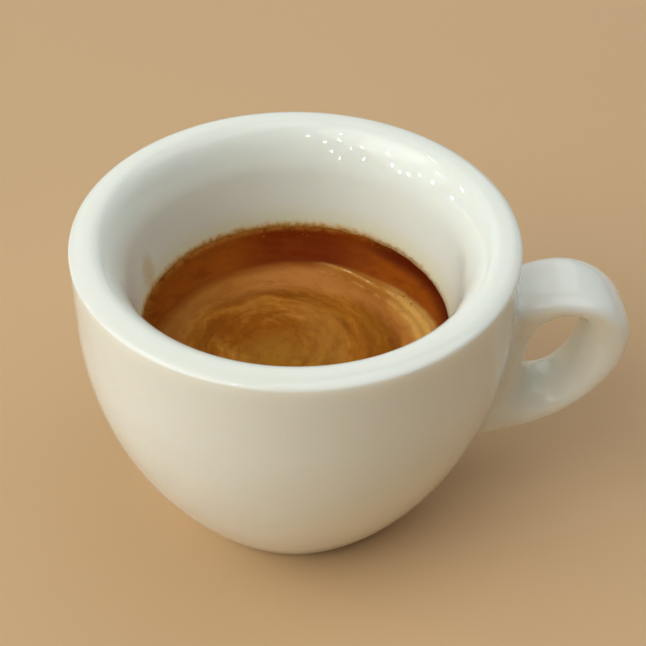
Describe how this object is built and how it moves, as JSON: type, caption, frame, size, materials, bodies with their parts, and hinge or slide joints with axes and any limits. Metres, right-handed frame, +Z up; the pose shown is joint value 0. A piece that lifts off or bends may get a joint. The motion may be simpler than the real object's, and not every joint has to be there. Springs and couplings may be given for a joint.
{
  "type": "espresso shot",
  "caption": "Espresso with its crema in a thick-walled white porcelain cup with a strap handle, stood on a flat foot.",
  "frame": {"origin": "centre of the flat foot that the cup stands on, on the cup's axis", "axes": "+Z up along the cup's axis, +X from the cup's axis through the middle of the handle"},
  "size_m": [0.0844, 0.066, 0.0517],
  "materials": {
    "glazed_porcelain": "glossy clear glaze on white porcelain",
    "coffee": "dark brown coffee, wet",
    "crema": "fine wet foam, caramel brown with darker rings"
  },
  "bodies": {
    "root": {"cup": "glazed_porcelain", "espresso": "coffee", "crema": "crema"}
  },
  "joints": []
}
